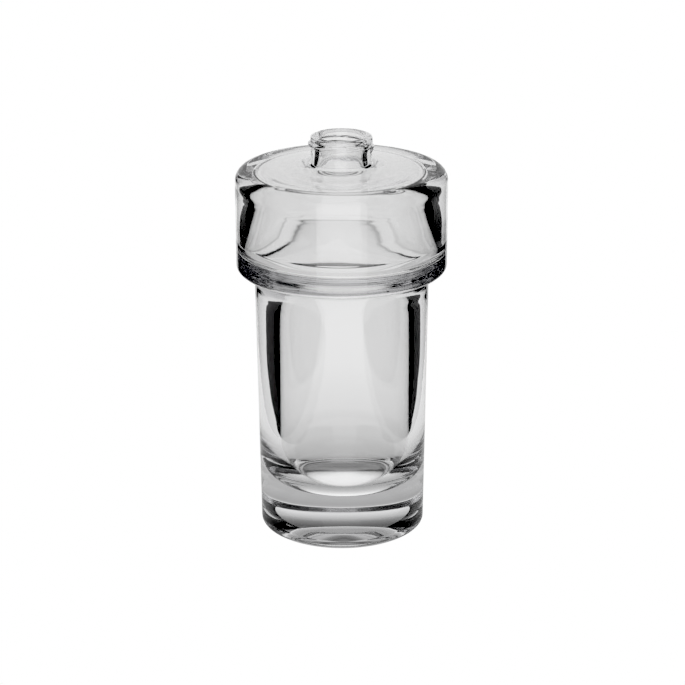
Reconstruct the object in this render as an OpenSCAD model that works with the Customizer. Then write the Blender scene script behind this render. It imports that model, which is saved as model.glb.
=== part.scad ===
// Clear glass bottle that hangs in a ring holder: a tapered body, a wider drum-shaped head whose
// flat underside rests on the ring, and a short threaded neck with a rounded lip. It is moulded in
// one piece with walls of 3 to 8 mm, so every dimension here describes its outside or its cavity.
// Millimetres, +Z up, origin at the centre of the base.

/* [Body] */
// Radius of the body at the base
base_r = 30.95; // [28:0.05:32]
// Radius of the body just under the head
body_top_r = 32.35; // [31:0.05:34]
// Rounding of the base edge
base_round = 1.6; // [0.5:0.1:3]
// Radius of the hollow under the base
punt_r = 26; // [15:0.5:27]
// Depth of the hollow under the base, near its rim
punt_depth = 1; // [0.2:0.1:2]
// Extra depth of the domed middle of the hollow
punt_dome = 3; // [0.5:0.1:4]

/* [Head] */
// Height of the flat underside of the head above the base
ledge_z = 100.6; // [98:0.1:104]
// Radius of the head
head_r = 39; // [37:0.1:42]
// Height of the head's flat rim above the base
rim_z = 138.85; // [137:0.05:141]
// Rounding of the lower edge of the head
head_low_round = 2.4; // [1:0.1:4]
// Rounding of the upper edge of the head
head_top_round = 4.2; // [3:0.1:6]
// Height of the low dome between rim and neck
dome_rise = 1.55; // [0.5:0.05:3]

/* [Neck] */
// Overall height of the bottle
overall_z = 151.25; // [150:0.05:153]
// Radius of the neck under the thread
neck_r = 11.2; // [10.4:0.1:11.4]
// Rounding of the lip, which is a full round
lip_round = 1.6; // [1.2:0.1:1.8]
// Radius of the bore through the neck
bore_r = 8.1; // [7.8:0.1:8.6]
// Length of the straight bore under the lip
bore_length = 7.15; // [6:0.05:9]
// Rounding between the neck's foot and the dome
neck_flare = 1.2; // [0.5:0.1:2]

/* [Thread] */
// Radius over the thread
thread_r = 12.15; // [11.8:0.05:12.3]
// Rise of the thread in one turn
thread_pitch = 3.1; // [3:0.1:3.5]
// Number of turns of thread
thread_turns = 1.06; // [0.8:0.02:1.3]
// Depth of the thread's lower end below the top of the bottle
thread_drop = 5; // [4.5:0.1:6]
// Direction that the lower end of the thread faces, in degrees from +X
thread_start = -20; // [-180:5:180]
// Width of the thread at its foot
thread_foot = 2.7; // [2:0.1:3]
// Width of the flat on the thread's crest
thread_flat = 0.9; // [0.4:0.1:1.2]

/* [Body cavity] */
// Height of the middle of the cavity's floor above the base
floor_z = 16.6; // [12:0.1:20]
// Rise of the floor from its middle to the edge of its flat part
floor_rise = 0.6; // [0.2:0.1:2]
// Radius of the flat middle of the cavity's floor
floor_flat_r = 14.4; // [10:0.1:18]
// Height where the rounding at the foot of the cavity ends
fillet_top_z = 36; // [30:0.5:45]
// Radius of the cavity in the body
body_cavity_r = 24.25; // [22:0.05:26]

/* [Head cavity] */
// Radius of the cavity's shoulder, its widest place
shoulder_r = 35.65; // [33:0.05:36.5]
// Height of the shoulder
shoulder_z = 109; // [106:0.1:111]
// Radius of the head cavity at its waist
waist_r = 31.85; // [29:0.05:33]
// Height of the waist
waist_z = 125.2; // [120:0.1:128]
// Height of the roof of the head cavity at its outer edge
roof_edge_z = 134.2; // [131:0.1:135]

/* [Hidden] */
$fn = 180;
spline_steps = 5;
arc_steps = 6;
fillet_steps = 7;
punt_side = 4;
punt_steps = 4;
punt_rim_r = punt_r - punt_side;
rim_inner_r = 30.5;
dome_r = 13.35;
dome_z = rim_z + dome_rise;
lip_r = bore_r + lip_round;
lip_z = overall_z - lip_round;
bore_foot_z = lip_z - bore_length;
throat_end_z = 60;
thread_steps = 72;
thread_bite = 0.3;
thread_fade = 0.08;
thread_z = overall_z - thread_drop;
floor_edge_z = floor_z + floor_rise;

// Points of the arc of radius r about c, from angle a to angle b.
function arc(c, r, a, b, n = arc_steps) =
    [for (i = [0:n]) c + r * [cos(a + (b - a) * i / n), sin(a + (b - a) * i / n)]];

// A point on the straight line through p at ta and q at tb, at t.
function along(p, q, ta, tb, t) = p * (tb - t) / (tb - ta) + q * (t - ta) / (tb - ta);

// One step of a centripetal Catmull-Rom curve from b to c, a fraction u of the way.
function curve_point(a, b, c, d, u) =
    let (ta = 0, tb = ta + sqrt(norm(b - a)), tc = tb + sqrt(norm(c - b)), td = tc + sqrt(norm(d - c)),
         t = tb + (tc - tb) * u,
         ab = along(a, b, ta, tb, t), bc = along(b, c, tb, tc, t), cd = along(c, d, tc, td, t),
         abc = along(ab, bc, ta, tc, t), bcd = along(bc, cd, tb, td, t))
    along(abc, bcd, tb, tc, t);

// A smooth curve through the knots, without the two end knots, which only set its end directions.
function curve(k, n = spline_steps) =
    concat([for (i = [1:len(k) - 3], j = [0:n - 1]) curve_point(k[i - 1], k[i], k[i + 1], k[i + 2], j / n)],
           [k[len(k) - 2]]);

// Outer outline, from the axis under the base up to the top of the bore.
outside = concat(
    [for (i = [0:punt_steps]) let (r = punt_rim_r * i / punt_steps)
        [r, punt_depth + punt_dome * (1 - pow(i / punt_steps, 2))]],
    [[punt_r, 0]],
    arc([base_r - base_round, base_round], base_round, -90, 0),
    [[body_top_r, ledge_z]],
    arc([head_r - head_low_round, ledge_z + head_low_round], head_low_round, -90, 0),
    arc([head_r - head_top_round, rim_z - head_top_round], head_top_round, 0, 90),
    [[rim_inner_r, rim_z]],
    [[dome_r, dome_z]],
    arc([neck_r + neck_flare, dome_z + neck_flare], neck_flare, 270, 180),
    [[neck_r, lip_z - lip_round]],
    arc([lip_r, lip_z], lip_round, -50, 180, 3 * arc_steps));

// Knots of the head cavity, from the bore's foot out along the roof and down the waisted wall.
head_knots = [
    [bore_r, bore_foot_z + 2],
    [bore_r, bore_foot_z],
    [bore_r + 0.5, bore_foot_z - 2.3],
    [bore_r + 1.7, bore_foot_z - 4.5],
    [bore_r + 3.9, bore_foot_z - 5.9],
    [waist_r / 2, roof_edge_z + 1.4],
    [waist_r - 6.9, roof_edge_z + 0.7],
    [waist_r - 0.7, roof_edge_z],
    [waist_r, roof_edge_z - 2],
    [waist_r, waist_z],
    [waist_r + 0.4, waist_z - 4.8],
    [waist_r + 1.4, waist_z - 10.2],
    [waist_r + 2.4, shoulder_z + 2.6],
    [shoulder_r - 0.6, shoulder_z + 1.1],
    [shoulder_r, shoulder_z],
    [shoulder_r - 0.4, shoulder_z - 1]];

// Knots of the throat, from under the shoulder down to the straight wall of the body cavity.
throat_knots = [
    [shoulder_r - 1.4, shoulder_z - 1.7],
    [shoulder_r - 3.1, shoulder_z - 3],
    [shoulder_r - 5, shoulder_z - 4.6],
    [body_cavity_r + 4.3, ledge_z + 0.4],
    [body_cavity_r + 2, ledge_z - 2],
    [body_cavity_r + 0.8, ledge_z - 5.6],
    [body_cavity_r + 0.2, ledge_z - 12],
    [body_cavity_r, throat_end_z]];

// Knots of the floor: an elliptical rounding, then a nearly flat middle.
floor_knots = concat(
    [for (i = [0:fillet_steps]) let (a = 88 - 80 * i / fillet_steps)
        [floor_flat_r + (body_cavity_r - floor_flat_r) * sin(a),
         fillet_top_z - (fillet_top_z - floor_edge_z) * cos(a)]],
    [for (r = [0.5, 0, -0.5] * floor_flat_r) [r, floor_z + floor_rise * pow(r / floor_flat_r, 2)]]);

// One cross-section of the thread at angle a, t of the way along it, as a ring of four points.
// Its ends fade into the neck.
function thread_ring(a, t) =
    let (fade = min(1, t / thread_fade, (1 - t) / thread_fade),
         z = thread_z + thread_pitch * thread_turns * t,
         crest = neck_r + (thread_r - neck_r) * fade,
         root = neck_r - thread_bite,
         side = thread_foot / 2,
         flat = thread_flat / 2)
    [for (p = [[root, -side], [crest, -flat], [crest, flat], [root, side]])
        [p.x * cos(a), p.x * sin(a), z + p.y]];

// The external thread of the neck as a closed solid swept round the axis.
module thread() {
    rings = [for (i = [0:thread_steps]) let (t = i / thread_steps)
        thread_ring(thread_start + 360 * thread_turns * t, t)];
    points = [for (ring = rings, p = ring) p];
    last = 4 * thread_steps;
    sides = [for (i = [0:thread_steps - 1], j = [0:3])
        let (k = (j + 1) % 4) [4 * i + j, 4 * i + k, 4 * i + 4 + k, 4 * i + 4 + j]];
    polyhedron(points, concat(sides, [[3, 2, 1, 0]], [[last, last + 1, last + 2, last + 3]]));
}

// The whole bottle.
module glass_bottle() {
    color([0.86, 0.9, 0.9, 0.4])
    union() {
        rotate_extrude() polygon(concat(outside, curve(concat(head_knots, throat_knots, floor_knots))));
        thread();
    }
}

glass_bottle();
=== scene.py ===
"""Clear glass bottle with a drum-shaped head, in a plain white studio. Metres, +Z up."""

import math

import bmesh
import bpy
from mathutils import Matrix, Vector

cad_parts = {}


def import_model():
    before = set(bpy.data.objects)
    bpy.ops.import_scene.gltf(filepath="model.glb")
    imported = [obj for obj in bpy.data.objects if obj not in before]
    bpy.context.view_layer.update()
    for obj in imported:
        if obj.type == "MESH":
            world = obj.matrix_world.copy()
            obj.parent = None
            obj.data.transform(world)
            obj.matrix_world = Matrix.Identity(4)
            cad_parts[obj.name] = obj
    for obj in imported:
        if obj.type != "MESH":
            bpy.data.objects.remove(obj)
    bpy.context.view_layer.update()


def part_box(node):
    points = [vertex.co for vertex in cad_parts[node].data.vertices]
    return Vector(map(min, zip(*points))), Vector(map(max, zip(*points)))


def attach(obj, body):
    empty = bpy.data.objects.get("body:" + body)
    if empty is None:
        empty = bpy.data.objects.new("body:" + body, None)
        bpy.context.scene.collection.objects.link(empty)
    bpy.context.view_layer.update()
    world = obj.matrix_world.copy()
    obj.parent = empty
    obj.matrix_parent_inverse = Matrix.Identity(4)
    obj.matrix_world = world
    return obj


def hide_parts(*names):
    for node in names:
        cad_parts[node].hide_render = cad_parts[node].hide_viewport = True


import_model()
MM = 0.001

# ---------------------------------------------------------------- the bottle's outline, in millimetres

TOP_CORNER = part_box("glass_bottle")[1]
HEAD_R = TOP_CORNER.x / MM
OVERALL_Z = TOP_CORNER.z / MM
BASE_R, BODY_TOP_R, BASE_ROUND = 30.95, 32.35, 1.6
PUNT_R, PUNT_DEPTH, PUNT_DOME, PUNT_SIDE = 26.0, 1.0, 3.0, 4.0
PUNT_STEPS, PUNT_LIP = 5, 0.4
LEDGE_Z, LEDGE_CORNER, RIM_Z = 100.6, 0.4, 138.85
HEAD_LOW_ROUND, HEAD_TOP_ROUND = 2.4, 4.2
SEGMENTS = 256

# The dome between the rim and the neck's foot: its edges, its whole rise, and how far two places stand above
# the rim, as radius and rise.
RIM_INNER_R, DOME_R, DOME_RISE = 30.5, 13.35, 1.55
DOME_KNOTS = [(27.5, 0.25), (21.0, 0.95)]

# The neck. The thread is worked into its wall above NECK_FOOT_Z.
NECK_R, NECK_FLARE, NECK_FOOT_Z = 11.2, 1.2, 142.0
LIP_R, LIP_ROUND = 9.7, 1.6
THREAD_R, THREAD_PITCH, THREAD_TURNS, THREAD_START = 12.15, 3.1, 1.06, -20.0
THREAD_BELOW_TOP, THREAD_FOOT, THREAD_FLAT, THREAD_FADE = 5.0, 2.7, 0.9, 0.08

# The cavity's floor: a nearly flat middle, and an elliptical rounding up to the body's wall.
FLOOR_MID_Z, FLOOR_EDGE_Z, FLOOR_FLAT_R = 16.6, 17.2, 14.4
FLOOR_EDGE_TUCK, FLOOR_EDGE_DROP = 0.6, 0.05
FILLET_R, FILLET_TOP_Z, FILLET_STEPS = 24.25, 36.0, 8
FILLET_FROM, FILLET_SWEEP = 85, 70

# The cavity isn't quite true: how far it sits towards +X at each height, and how its shoulder leans.
CAVITY_SHIFT = [(92.0, 0.6), (107.0, -0.05), (120.0, -0.45), (133.0, -0.65)]
SHOULDER_LEAN = [(95.0, 0.0), (104.0, -0.011), (108.0, -0.011), (116.0, 0.0)]
SHIFT_BLEND = 12.0

# The studio, in metres, with the light levels that the glass sees. SKY_STOPS are levels by how far up it
# looks, from 0 level to 1 overhead. SHADE_STOPS are levels of the floor by distance from the bottle's axis,
# as a share of SHADE_REACH: painted shade in a ring round the bottle's foot, and painted light under the
# bottle, at SHADE_FOOT on the axis.
FLOOR_HALF, FLOOR_Z = 8.0, -0.0002
CARD_X, CARD_NEAR, CARD_FAR, CARD_TOP = 0.118, -0.25, 0.18, 0.4
SURROUND = 0.83
SKY_TOP = 0.4
SKY_STOPS = [(0.25, 0.68), (0.4, 0.55), (0.55, 0.3), (0.75, 0.15)]
SHADE_REACH = 0.25
SHADE_FOOT = 1.0
SHADE_STOPS = [(0.05, 0.95), (0.09, 0.6), (0.125, 0.4), (0.16, 0.51)]
SHADE_STOPS += [(0.29, 0.62), (0.49, 0.75), (0.74, 0.82)]
BLACK_POINT = 0.045
BOUNCES = 24
WHITE = (1.0, 1.0, 1.0, 1.0)

# The glass: its refraction, its grey in the depth, how high the scuffed foot reaches in millimetres and how
# rough it is, the ripples' heights in metres, and the scales of the noises in waves per metre.
GLASS_IOR = 1.52
GLASS_TINT, GLASS_DENSITY = (0.93, 0.93, 0.935, 1.0), 25.0
WEAR_TOP, WEAR_ROUGHNESS, WEAR_SCALE = 0.25, 0.3, 900.0
RIPPLE, FINE_RIPPLE = 0.00004, 0.00004 / 12
RIPPLE_SCALE, FINE_RIPPLE_SCALE = 55.0, 320.0

# The cavity's parts, from the bore down, as knots of radius and height. The wall of the head cavity bends
# by HEAD_BEND, in mm per mm of height twice over, from its radius and slope at WAIST_Z.
FUNNEL = [(8.1, 146.0), (8.15, 142.5), (8.6, 140.2), (9.8, 138.0), (12.0, 136.6)]
ROOF = [(16.0, 135.6), (25.0, 134.9), (31.2, 134.2)]
WAIST_Z, WAIST_R, WAIST_SLOPE = 125.0, 31.8, -0.022
HEAD_BEND = [(112.5, 0.006), (117.0, 0.0185), (121.0, 0.0305), (125.5, 0.024), (130.0, 0.007)]
WALL_HEIGHTS = [129.5, 127.5, 125.2, 122.8, 120.4, 117.8, 115.0, 112.7, 111.7]
ROOF_EDGE_Z, ROOF_TUCK = 132.2, 0.2
SHOULDER = [(34.95, 110.2), (35.65, 109.05), (35.3, 108.0), (34.15, 107.35), (32.5, 106.0), (30.6, 104.7)]
THROAT = [(28.7, 101.0), (26.1, 98.6), (25.0, 95.0), (24.5, 90.5), (24.3, 85.0)]
BODY_WALL = [(24.25, 60.0), (24.25, 45.0)]


def arc(cr, cz, radius, start, end, steps=10):
    """Points of an arc about (cr, cz), from start to end degrees."""
    angles = [math.radians(start + (end - start) * i / steps) for i in range(steps + 1)]
    return [(cr + radius * math.cos(a), cz + radius * math.sin(a)) for a in angles]


def line(a, b, steps):
    """Points from a towards b, without b."""
    return [(a[0] + (b[0] - a[0]) * i / steps, a[1] + (b[1] - a[1]) * i / steps) for i in range(steps)]


def curve(knots, steps=8):
    """Centripetal Catmull-Rom curve through the knots. It ends as if it went on mirrored in the axis."""
    k = [Vector(p) for p in knots]
    k = [k[0] * 2 - k[1]] + k + [Vector((-k[-2].x, k[-2].y))]
    points = []
    for i in range(1, len(k) - 2):
        a, b, c, d = k[i - 1 : i + 3]
        ta, tb = 0.0, math.sqrt((b - a).length)
        tc = tb + math.sqrt((c - b).length)
        td = tc + math.sqrt((d - c).length)
        for j in range(steps):
            t = tb + (tc - tb) * j / steps
            ab = a * ((tb - t) / (tb - ta)) + b * ((t - ta) / (tb - ta))
            bc = b * ((tc - t) / (tc - tb)) + c * ((t - tb) / (tc - tb))
            cd = c * ((td - t) / (td - tc)) + d * ((t - tc) / (td - tc))
            abc = ab * ((tc - t) / (tc - ta)) + bc * ((t - ta) / (tc - ta))
            bcd = bc * ((td - t) / (td - tb)) + cd * ((t - tb) / (td - tb))
            p = abc * ((tc - t) / (tc - tb)) + bcd * ((t - tb) / (tc - tb))
            points.append((p.x, p.y))
    points.append(tuple(knots[-1]))
    return points


def underside():
    """Outline of the domed hollow under the base, out to the flat ring that the bottle stands on."""
    rim = PUNT_R - PUNT_SIDE
    shares = [i / PUNT_STEPS for i in range(PUNT_STEPS)]
    p = [(rim * share, PUNT_DEPTH + PUNT_DOME * (1 - share**2)) for share in shares]
    p += curve([(rim, PUNT_DEPTH), (PUNT_R - PUNT_SIDE / 2, PUNT_DEPTH * 0.6), (PUNT_R, 0.02)], 6)[:-1]
    return p + [(PUNT_R + PUNT_LIP, 0.0)]


def body_and_head():
    """Outline from the base's rounded edge up to the head's flat rim."""
    p = arc(BASE_R - BASE_ROUND, BASE_ROUND, BASE_ROUND, -90, 0, 10)
    p += line((BASE_R + 0.03, BASE_ROUND + 2), (BODY_TOP_R, LEDGE_Z - 0.5), 12)
    p += arc(BODY_TOP_R + LEDGE_CORNER, LEDGE_Z - LEDGE_CORNER, LEDGE_CORNER, 180, 90, 4)
    p += arc(HEAD_R - HEAD_LOW_ROUND, LEDGE_Z + HEAD_LOW_ROUND, HEAD_LOW_ROUND, -90, 0, 10)
    p += line((HEAD_R, LEDGE_Z + HEAD_LOW_ROUND + 1), (HEAD_R, RIM_Z - HEAD_TOP_ROUND), 6)
    return p + arc(HEAD_R - HEAD_TOP_ROUND, RIM_Z - HEAD_TOP_ROUND, HEAD_TOP_ROUND, 0, 90, 16)


def dome_and_neck():
    """Outline from the rim over the low dome and up the neck to the inside of the lip."""
    dome_z = RIM_Z + DOME_RISE
    middle = [(r, RIM_Z + rise) for r, rise in DOME_KNOTS]
    p = curve([(RIM_INNER_R, RIM_Z)] + middle + [(DOME_R, dome_z)], 5)
    p += arc(NECK_R + NECK_FLARE, dome_z + NECK_FLARE, NECK_FLARE, 270, 180, 10)
    p += line((NECK_R, dome_z + NECK_FLARE + 0.2), (NECK_R, OVERALL_Z - 2 * LIP_ROUND - 0.1), 26)
    return p + arc(LIP_R, OVERALL_Z - LIP_ROUND, LIP_ROUND, -50, 180, 20)


def between(stops, at):
    """The value at a place between stops of (place, value)."""
    if at <= stops[0][0]:
        return stops[0][1]
    for (a, low), (b, high) in zip(stops, stops[1:]):
        if at <= b:
            return low + (high - low) * (at - a) / (b - a)
    return stops[-1][1]


def wall_radius(z, steps=200):
    """Radius of the head cavity's wall at height z."""
    step = (z - WAIST_Z) / steps
    r, slope = WAIST_R, WAIST_SLOPE
    for i in range(steps):
        bend = between(HEAD_BEND, WAIST_Z + step * (i + 0.5))
        r += slope * step + bend * step * step / 2
        slope += bend * step
    return r


def cavity_knots():
    """Knots of the whole cavity, from the bore down to the middle of its floor."""
    wall = [(wall_radius(ROOF_EDGE_Z) - ROOF_TUCK, ROOF_EDGE_Z)]
    wall += [(wall_radius(z), z) for z in WALL_HEIGHTS]
    return FUNNEL + ROOF + wall + SHOULDER + THROAT + BODY_WALL + floor_knots()


def floor_knots():
    """Knots of the cavity's floor, from the body's wall to the axis."""
    knots = []
    for step in range(FILLET_STEPS):
        a = math.radians(FILLET_FROM - FILLET_SWEEP * step / (FILLET_STEPS - 1))
        r = FLOOR_FLAT_R + (FILLET_R - FLOOR_FLAT_R) * math.sin(a)
        knots.append((r, FILLET_TOP_Z - (FILLET_TOP_Z - FLOOR_EDGE_Z) * math.cos(a)))
    knots.append((FLOOR_FLAT_R - FLOOR_EDGE_TUCK, FLOOR_EDGE_Z - FLOOR_EDGE_DROP))
    knots.append((FLOOR_FLAT_R / 2, (FLOOR_EDGE_Z + FLOOR_MID_Z) / 2))
    knots.append((0.0, FLOOR_MID_Z))
    return knots


def thread_height(z, angle):
    """How far the thread stands out of the neck at height z and angle, from 0 to 1."""
    lower = OVERALL_Z - THREAD_BELOW_TOP
    turn = ((math.degrees(angle) - THREAD_START) % 360) / 360
    best = 0.0
    while turn <= THREAD_TURNS:
        fade = min(1.0, turn / THREAD_FADE, (THREAD_TURNS - turn) / THREAD_FADE)
        off = abs(z - lower - turn * THREAD_PITCH)
        rise = min(1.0, max(0.0, (THREAD_FOOT / 2 - off) / (THREAD_FOOT / 2 - THREAD_FLAT / 2)))
        best = max(best, fade * rise * rise * (3 - 2 * rise))
        turn += 1
    return best


def surface_point(index, inner_from, outline, angle):
    """A point of the bottle's surface, in metres, at an angle on one ring of the outline."""
    r, z = outline[index]
    shift = 0.0
    if index >= inner_from:
        shift = between(CAVITY_SHIFT, z) * min(1.0, (outline[inner_from][1] - z) / SHIFT_BLEND)
    elif z > NECK_FOOT_Z and r > NECK_R - 0.5:
        r = max(r, NECK_R + (THREAD_R - NECK_R) * thread_height(z, angle))
    x = shift + r * math.cos(angle)
    if index >= inner_from:
        z += between(SHOULDER_LEAN, z) * x
    return (x * MM, r * math.sin(angle) * MM, z * MM)


def lathe(name, outline, inner_from):
    """The closed surface of the bottle. Rings from inner_from on belong to the cavity."""
    bm = bmesh.new()
    rings = []
    for i, (r, z) in enumerate(outline):
        count = 1 if r < 1e-6 else SEGMENTS
        angles = [2 * math.pi * s / SEGMENTS for s in range(count)]
        rings.append([bm.verts.new(surface_point(i, inner_from, outline, a)) for a in angles])
    for lower, upper in zip(rings, rings[1:]):
        for s in range(SEGMENTS):
            t = (s + 1) % SEGMENTS
            if len(lower) == 1:
                bm.faces.new((lower[0], upper[t], upper[s]))
            elif len(upper) == 1:
                bm.faces.new((lower[s], lower[t], upper[0]))
            else:
                bm.faces.new((lower[s], lower[t], upper[t], upper[s]))
    bmesh.ops.recalc_face_normals(bm, faces=bm.faces)
    mesh = bpy.data.meshes.new(name)
    bm.to_mesh(mesh)
    bm.free()
    mesh.polygons.foreach_set("use_smooth", [True] * len(mesh.polygons))
    obj = bpy.data.objects.new(name, mesh)
    bpy.context.scene.collection.objects.link(obj)
    return obj


# ---------------------------------------------------------------- materials


def new_material(name):
    """An empty node material with its output."""
    material = bpy.data.materials.new(name)
    material.use_nodes = True
    material.node_tree.nodes.clear()
    output = material.node_tree.nodes.new("ShaderNodeOutputMaterial")
    return material, material.node_tree, output


def noise(tree, place, scale, detail):
    """Smooth noise over the object, with scale in waves per metre."""
    texture = tree.nodes.new("ShaderNodeTexNoise")
    texture.inputs["Scale"].default_value = scale
    texture.inputs["Detail"].default_value = detail
    tree.links.new(place.outputs["Object"], texture.inputs["Vector"])
    return texture


def foot_wear(tree, place):
    """Roughness that rises from polished to lightly scuffed on the ring that the bottle stands on."""
    split = tree.nodes.new("ShaderNodeSeparateXYZ")
    foot = tree.nodes.new("ShaderNodeMapRange")
    foot.inputs["From Min"].default_value = WEAR_TOP * MM
    foot.inputs["From Max"].default_value = 0.0
    scuffs = noise(tree, place, WEAR_SCALE, 3.0)
    rough = tree.nodes.new("ShaderNodeMath")
    rough.operation = "MULTIPLY"
    scaled = tree.nodes.new("ShaderNodeMath")
    scaled.operation = "MULTIPLY"
    scaled.inputs[1].default_value = WEAR_ROUGHNESS
    tree.links.new(place.outputs["Object"], split.inputs["Vector"])
    tree.links.new(split.outputs["Z"], foot.inputs["Value"])
    tree.links.new(foot.outputs["Result"], rough.inputs[0])
    tree.links.new(scuffs.outputs["Fac"], rough.inputs[1])
    tree.links.new(rough.outputs["Value"], scaled.inputs[0])
    return scaled.outputs["Value"]


def bump(tree, height, distance):
    """A bump node of full strength that reads a noise."""
    node = tree.nodes.new("ShaderNodeBump")
    node.inputs["Strength"].default_value = 1.0
    node.inputs["Distance"].default_value = distance
    tree.links.new(height.outputs["Fac"], node.inputs["Height"])
    return node


def ripple(tree, place):
    """Faint long waves left by the mould, and a finer fire-polished ripple on top of them."""
    low = bump(tree, noise(tree, place, RIPPLE_SCALE, 1.0), RIPPLE)
    high = bump(tree, noise(tree, place, FINE_RIPPLE_SCALE, 2.0), FINE_RIPPLE)
    tree.links.new(low.outputs["Normal"], high.inputs["Normal"])
    return high.outputs["Normal"]


def clear_glass():
    """Polished moulded glass: faint ripple, a lightly scuffed foot, and a faint cool grey in its depth."""
    material, tree, output = new_material("clear_glass")
    place = tree.nodes.new("ShaderNodeTexCoord")
    shader = tree.nodes.new("ShaderNodeBsdfPrincipled")
    shader.inputs["Base Color"].default_value = WHITE
    shader.inputs["Transmission Weight"].default_value = 1.0
    shader.inputs["IOR"].default_value = GLASS_IOR
    absorb = tree.nodes.new("ShaderNodeVolumeAbsorption")
    absorb.inputs["Color"].default_value = GLASS_TINT
    absorb.inputs["Density"].default_value = GLASS_DENSITY
    tree.links.new(foot_wear(tree, place), shader.inputs["Roughness"])
    tree.links.new(ripple(tree, place), shader.inputs["Normal"])
    tree.links.new(shader.outputs["BSDF"], output.inputs["Surface"])
    tree.links.new(absorb.outputs["Volume"], output.inputs["Volume"])
    return material


# ---------------------------------------------------------------- studio


def panel(name, corners, material):
    """A flat four-cornered stage panel."""
    mesh = bpy.data.meshes.new(name)
    mesh.from_pydata(corners, [], [(0, 1, 2, 3)])
    obj = bpy.data.objects.new(name, mesh)
    obj.data.materials.append(material)
    bpy.context.scene.collection.objects.link(obj)
    return obj


def grey_ramp(tree, first, stops, last):
    """A colour ramp of grey levels, from first at 0 to last at 1."""
    ramp = tree.nodes.new("ShaderNodeValToRGB")
    ends = ramp.color_ramp.elements
    ends[0].color = (first, first, first, 1.0)
    ends[1].color = (last, last, last, 1.0)
    for position, level in stops:
        ends.new(position).color = (level, level, level, 1.0)
    return ramp


def white_to_camera(tree, ramp):
    """White for a straight look from the camera, and the ramp's colour for the glass."""
    path = tree.nodes.new("ShaderNodeLightPath")
    seen = tree.nodes.new("ShaderNodeMixRGB")
    seen.inputs["Color2"].default_value = WHITE
    tree.links.new(path.outputs["Is Camera Ray"], seen.inputs["Fac"])
    tree.links.new(ramp.outputs["Color"], seen.inputs["Color1"])
    return seen.outputs["Color"]


def white_floor_painted_light_and_shade():
    """White where the camera looks at it. The glass sees painted shade on it in a ring round the foot of the
    bottle, and painted light under the bottle.
    """
    material, tree, output = new_material("white_floor_painted_light_and_shade")
    place = tree.nodes.new("ShaderNodeNewGeometry")
    reach = tree.nodes.new("ShaderNodeVectorMath")
    reach.operation = "LENGTH"
    scale = tree.nodes.new("ShaderNodeMath")
    scale.operation = "DIVIDE"
    scale.inputs[1].default_value = SHADE_REACH
    # Painted shade for the glass: a dark ring round the bottle's foot, and painted light under the bottle,
    # brighter than the surround.
    ramp = grey_ramp(tree, SHADE_FOOT, SHADE_STOPS, SURROUND)
    shader = tree.nodes.new("ShaderNodeEmission")
    tree.links.new(place.outputs["Position"], reach.inputs[0])
    tree.links.new(reach.outputs["Value"], scale.inputs[0])
    tree.links.new(scale.outputs["Value"], ramp.inputs["Fac"])
    tree.links.new(white_to_camera(tree, ramp), shader.inputs["Color"])
    tree.links.new(shader.outputs["Emission"], output.inputs["Surface"])
    return material


def black_card():
    """Black card that only shows in light that the glass has reflected."""
    material, tree, output = new_material("black_card")
    path = tree.nodes.new("ShaderNodeLightPath")
    thrown = tree.nodes.new("ShaderNodeMath")
    thrown.operation = "GREATER_THAN"
    thrown.inputs[1].default_value = 0.5
    clear = tree.nodes.new("ShaderNodeBsdfTransparent")
    black = tree.nodes.new("ShaderNodeEmission")
    black.inputs["Strength"].default_value = 0.0
    mix = tree.nodes.new("ShaderNodeMixShader")
    tree.links.new(path.outputs["Glossy Depth"], thrown.inputs[0])
    tree.links.new(thrown.outputs["Value"], mix.inputs["Fac"])
    tree.links.new(clear.outputs["BSDF"], mix.inputs[1])
    tree.links.new(black.outputs["Emission"], mix.inputs[2])
    tree.links.new(mix.outputs["Shader"], output.inputs["Surface"])
    return material


def side_card(name, x, material):
    """An upright card beside the bottle that only the glass sees."""
    near, far = (x, CARD_NEAR, 0.0), (x, CARD_FAR, 0.0)
    card = panel(name, [near, far, (x, CARD_FAR, CARD_TOP), (x, CARD_NEAR, CARD_TOP)], material)
    card.visible_camera = False
    card.visible_diffuse = False
    card.visible_shadow = False


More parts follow.
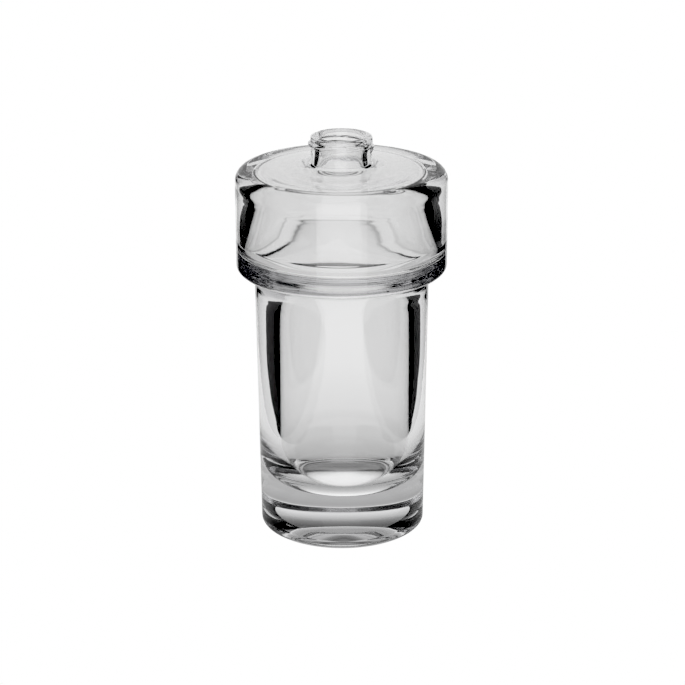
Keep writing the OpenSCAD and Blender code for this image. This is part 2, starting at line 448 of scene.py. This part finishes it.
def studio():
    """White floor that fills the view, with painted shade and light that only the glass sees, and black cards
    beside the bottle that draw its dark edges.
    """
    half, low = FLOOR_HALF, FLOOR_Z
    corners = [(-half, -half, low), (half, -half, low), (half, half, low), (-half, half, low)]
    panel("floor", corners, white_floor_painted_light_and_shade())
    black = black_card()
    side_card("card_left", -CARD_X, black)
    side_card("card_right", CARD_X, black)


def world():
    """Soft surroundings, white to the camera. The glass sees them dim upwards, but less so right overhead."""
    surroundings = bpy.data.worlds.new("surroundings")
    surroundings.use_nodes = True
    tree = surroundings.node_tree
    view = tree.nodes.new("ShaderNodeTexCoord")
    split = tree.nodes.new("ShaderNodeSeparateXYZ")
    sky = grey_ramp(tree, SURROUND, SKY_STOPS, SKY_TOP)
    tree.links.new(view.outputs["Generated"], split.inputs["Vector"])
    tree.links.new(split.outputs["Z"], sky.inputs["Fac"])
    tree.links.new(white_to_camera(tree, sky), tree.nodes["Background"].inputs["Color"])
    bpy.context.scene.world = surroundings


def camera():
    """Long lens, looking down about 20 degrees."""
    distance, height, pitch, roll = 0.7804, 0.3515, 0.345, 0.00302
    data = bpy.data.cameras.new("camera")
    data.sensor_width = 36.0
    data.lens = 115.97
    data.shift_x = 0.0008
    data.clip_start, data.clip_end = 0.05, 40.0
    obj = bpy.data.objects.new("camera", data)
    obj.matrix_world = (
        Matrix.Translation((0.0, -distance, height))
        @ Matrix.Rotation(math.pi / 2 - pitch, 4, "X")
        @ Matrix.Rotation(-roll, 4, "Z")
    )
    bpy.context.scene.collection.objects.link(obj)
    bpy.context.scene.camera = obj


def render_look():
    """Plain colour transform with its darkest greys set to black, and enough bounces for thick glass."""
    scene = bpy.context.scene
    scene.view_settings.view_transform = "Standard"
    scene.view_settings.look = "None"
    scene.view_settings.use_curve_mapping = True
    curves = scene.view_settings.curve_mapping
    curves.black_level = (BLACK_POINT, BLACK_POINT, BLACK_POINT)
    curves.update()
    scene.cycles.max_bounces = BOUNCES
    scene.cycles.glossy_bounces = BOUNCES
    scene.cycles.transmission_bounces = BOUNCES


camera()
render_look()
world()
studio()

outer = underside() + body_and_head() + dome_and_neck()
bottle = lathe("glass_vessel", outer + curve(cavity_knots()), len(outer))
bottle.data.materials.append(clear_glass())
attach(bottle, "root")
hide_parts("glass_bottle")

bpy.context.view_layer.update()
